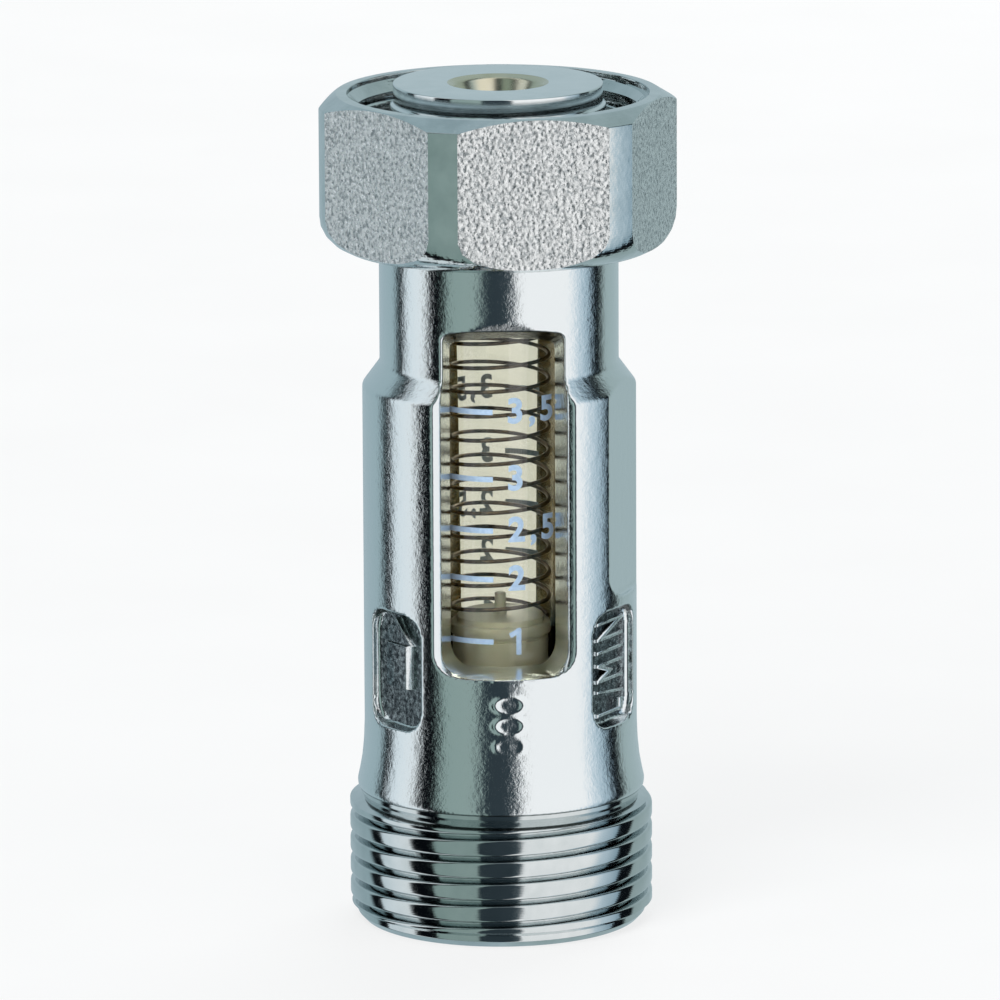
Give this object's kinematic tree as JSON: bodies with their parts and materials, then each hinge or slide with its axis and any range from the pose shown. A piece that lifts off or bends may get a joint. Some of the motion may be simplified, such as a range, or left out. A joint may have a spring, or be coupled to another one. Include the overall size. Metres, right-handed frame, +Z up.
{
  "type": "rotameter",
  "caption": "In-line flow meter with a captive union nut, a male threaded end, a sight window and a spring-loaded float in a clear tube.",
  "frame": {"origin": "centre of the bottom face of the male threaded end", "axes": "+Z up the flow path towards the union nut, -Y out of the front sight window"},
  "size_m": [0.0318, 0.0308, 0.0755],
  "materials": {
    "chromed_casting": "chrome plate on cast and turned brass",
    "chromed_nut": "chrome plate on hot-pressed brass, rough flats and turned corners",
    "spring_steel": "drawn stainless spring wire",
    "amber_plastic": "clear amber polysulfone with light blue print",
    "seal_rubber": "black EPDM",
    "plain_brass": "turned brass",
    "cream_plastic": "moulded cream acetal"
  },
  "bodies": {
    "casing": {"body": "chromed_casting", "nut_retaining_ring": "spring_steel", "measuring_tube": "amber_plastic", "lower_tube_seal": "seal_rubber", "upper_tube_seal": "seal_rubber", "tube_retaining_ring": "plain_brass", "float_seat": "plain_brass", "spring_seat": "cream_plastic", "spring": "spring_steel"},
    "swivel_nut": {"union_nut": "chromed_nut"},
    "float_piston": {"float": "cream_plastic"}
  },
  "joints": [
    {"name": "nut_spin", "type": "hinge", "parent": "casing", "child": "swivel_nut", "pos_m": [0, 0, 0.0642], "axis": [0, 0, 1], "continuous": true},
    {"name": "float_lift", "type": "slide", "parent": "casing", "child": "float_piston", "axis": [0, 0, 1], "range_m": [0, 0.0208], "stiffness_N_per_m": 60, "springref_m": -0.008, "deforming": ["spring"]}
  ]
}
